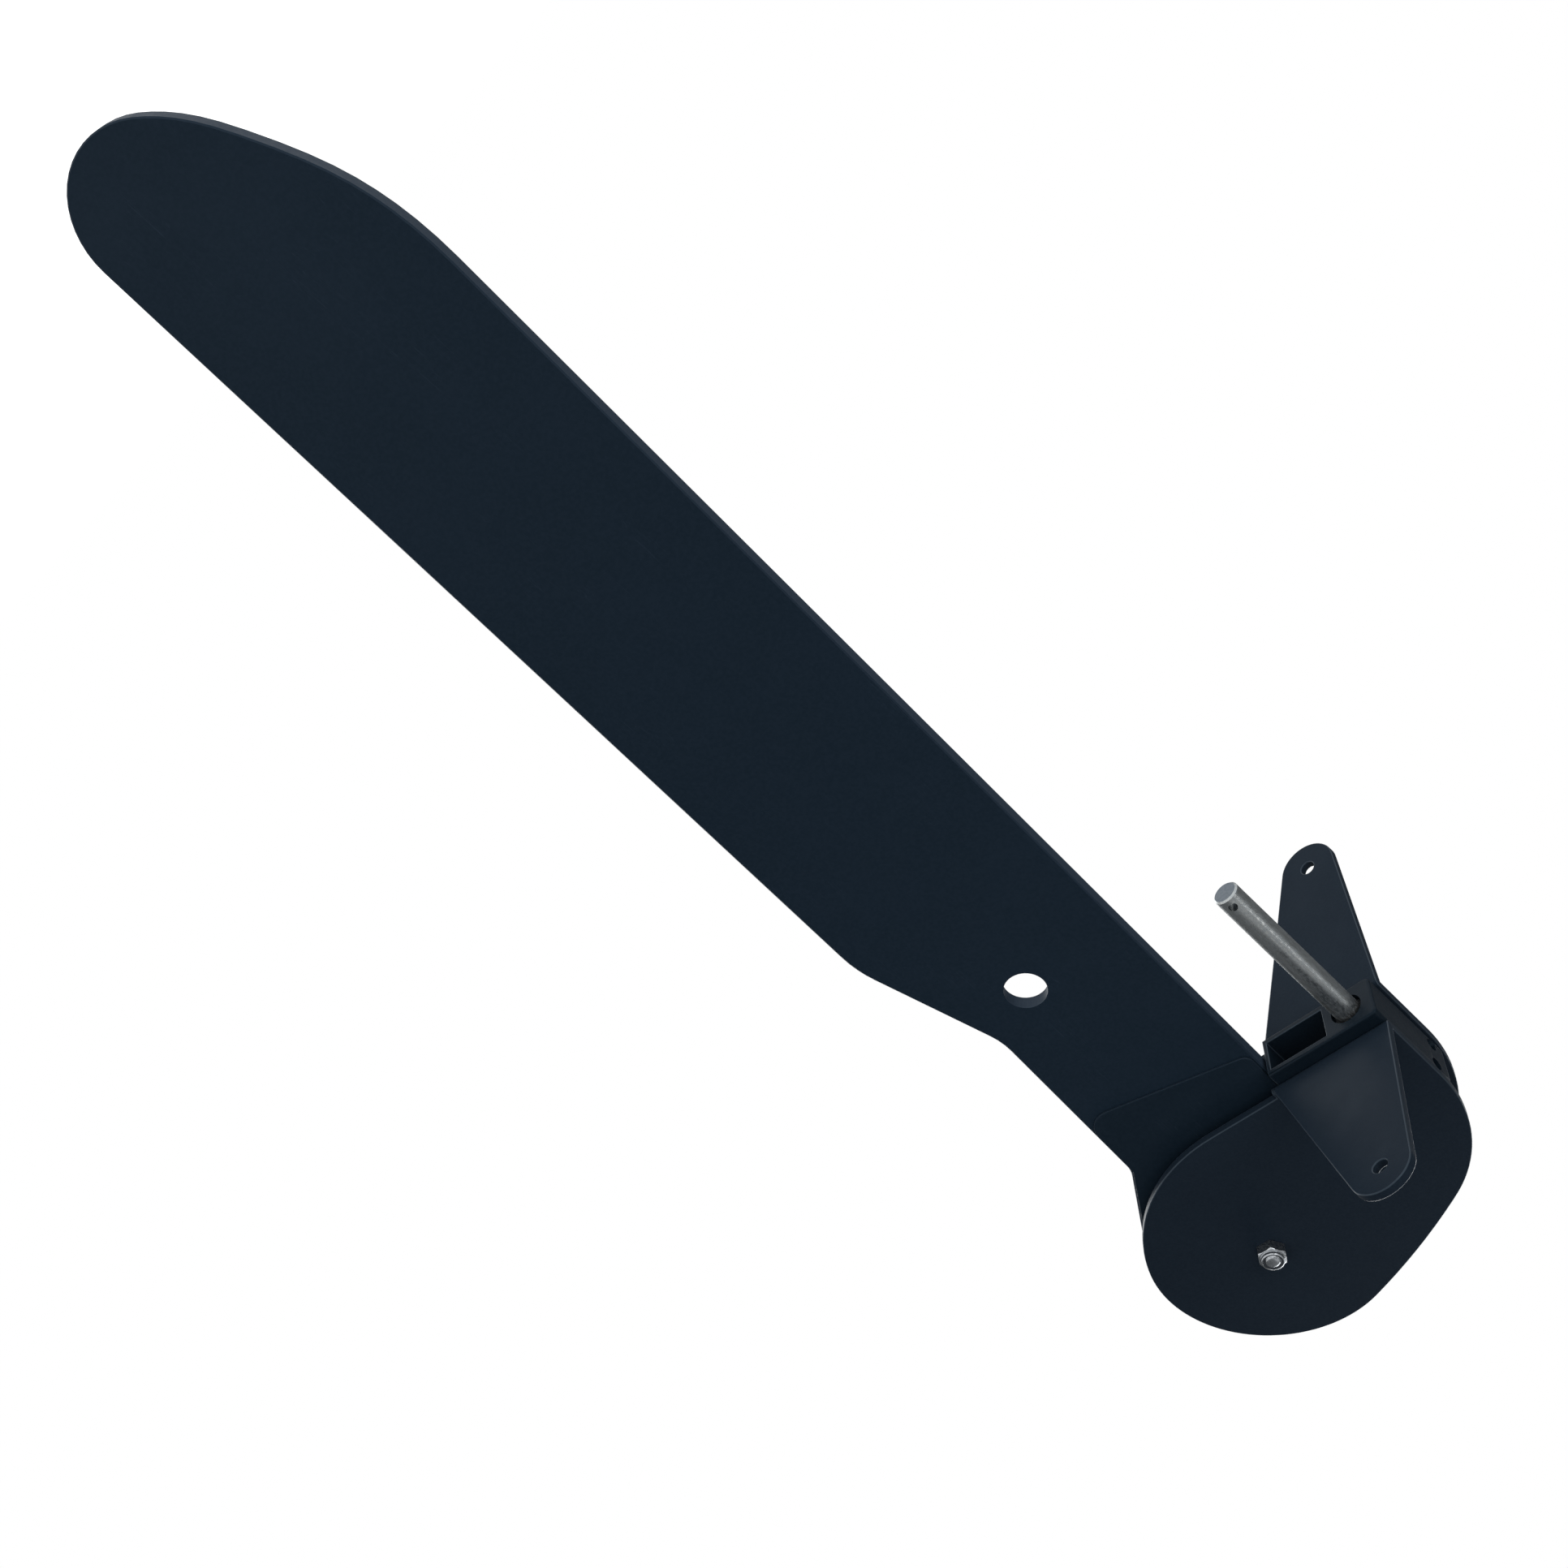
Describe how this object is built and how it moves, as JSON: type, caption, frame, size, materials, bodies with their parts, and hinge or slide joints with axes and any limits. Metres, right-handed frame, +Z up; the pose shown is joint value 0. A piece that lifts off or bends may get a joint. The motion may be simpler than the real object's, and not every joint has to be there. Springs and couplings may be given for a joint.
{
  "type": "kayak rudder",
  "caption": "Flip-up kayak rudder: a flat blade swings on a cross bolt between two bent side plates that steer on a vertical pintle pin.",
  "frame": {"origin": "on the pintle axis, level with the underside of the pin bracket", "axes": "+X aft, away from the hull; +Y to starboard; +Z up, along the pintle pin"},
  "size_m": [0.1415, 0.1844, 0.5966],
  "materials": {
    "plate_coating": "satin",
    "bracket_coating": "satin",
    "blade_plastic": "satin",
    "pad_plastic": "satin",
    "drum_plastic": "satin",
    "pin_bush_plastic": "satin",
    "bush_plastic": "satin",
    "pin_steel": "brushed",
    "fastener_steel": "brushed",
    "nut_steel": "brushed",
    "ring_steel": "brushed",
    "rivet_steel": "brushed",
    "insert_nylon": "matte"
  },
  "bodies": {
    "pin": {"pintle_pin": "pin_steel", "pin_washer": "fastener_steel", "pin_retaining_ring": "ring_steel"},
    "head": {"pin_bracket": "bracket_coating", "pin_bush": "pin_bush_plastic", "port_side_plate": "plate_coating", "starboard_side_plate": "plate_coating", "pivot_bolt": "fastener_steel", "pivot_washer": "fastener_steel", "pivot_locknut": "nut_steel", "locknut_insert": "insert_nylon", "port_thrust_washer": "bush_plastic", "starboard_thrust_washer": "bush_plastic"},
    "blade": {"rudder_blade": "blade_plastic", "port_wear_pad": "pad_plastic", "starboard_wear_pad": "pad_plastic", "port_line_drum": "drum_plastic", "starboard_line_drum": "drum_plastic", "drum_rivets": "rivet_steel", "blade_bush": "bush_plastic"}
  },
  "joints": [
    {"name": "steering", "type": "hinge", "parent": "pin", "child": "head", "pos_m": [0, 0, 0], "axis": [0, 0, 1], "range_deg": [-40, 40]},
    {"name": "blade_flip", "type": "hinge", "parent": "head", "child": "blade", "pos_m": [0.084, 0, 0.066], "axis": [0, -1, 0], "range_deg": [0, 265]}
  ]
}
